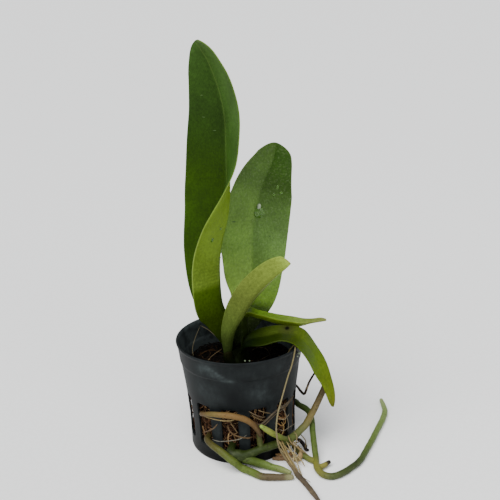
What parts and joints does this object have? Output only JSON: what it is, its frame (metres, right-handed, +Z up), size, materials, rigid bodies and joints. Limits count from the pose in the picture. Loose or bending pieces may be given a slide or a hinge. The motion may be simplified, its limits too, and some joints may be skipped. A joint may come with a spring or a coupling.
{
  "type": "potted orchid",
  "caption": "Young strap-leaved orchid growing in coir in a slotted basket pot, with folded leaves and roots that trail out of the slots and lie on the surface.",
  "frame": {"origin": "centre of the pot's underside, on the surface it stands on", "axes": "+Z up out of the pot; -Y towards the front, where most of the roots come out; +X towards the side where the longest root lies out on the surface"},
  "size_m": [0.1291, 0.1113, 0.2359],
  "materials": {
    "pot_plastic": "moulded, satin, dusty",
    "coir": "moist tangled fibre",
    "crown_green": "satin",
    "leaf_deep_green": "waxy satin",
    "leaf_olive": "waxy satin",
    "leaf_bright_green": "waxy satin",
    "root_tan": "matt",
    "root_green": "satin",
    "root_dry": "matt, fibrous"
  },
  "bodies": {
    "root": {"pot": "pot_plastic", "coir_medium": "coir", "crown": "crown_green", "leaf_tall": "leaf_deep_green", "leaf_back": "leaf_deep_green", "leaf_young": "leaf_olive", "leaf_small": "leaf_bright_green", "leaf_arching": "leaf_bright_green", "root_tan": "root_tan", "root_front": "root_green", "root_forked": "root_green", "root_right": "root_green", "root_dry": "root_dry", "root_twig": "root_dry"}
  },
  "joints": []
}
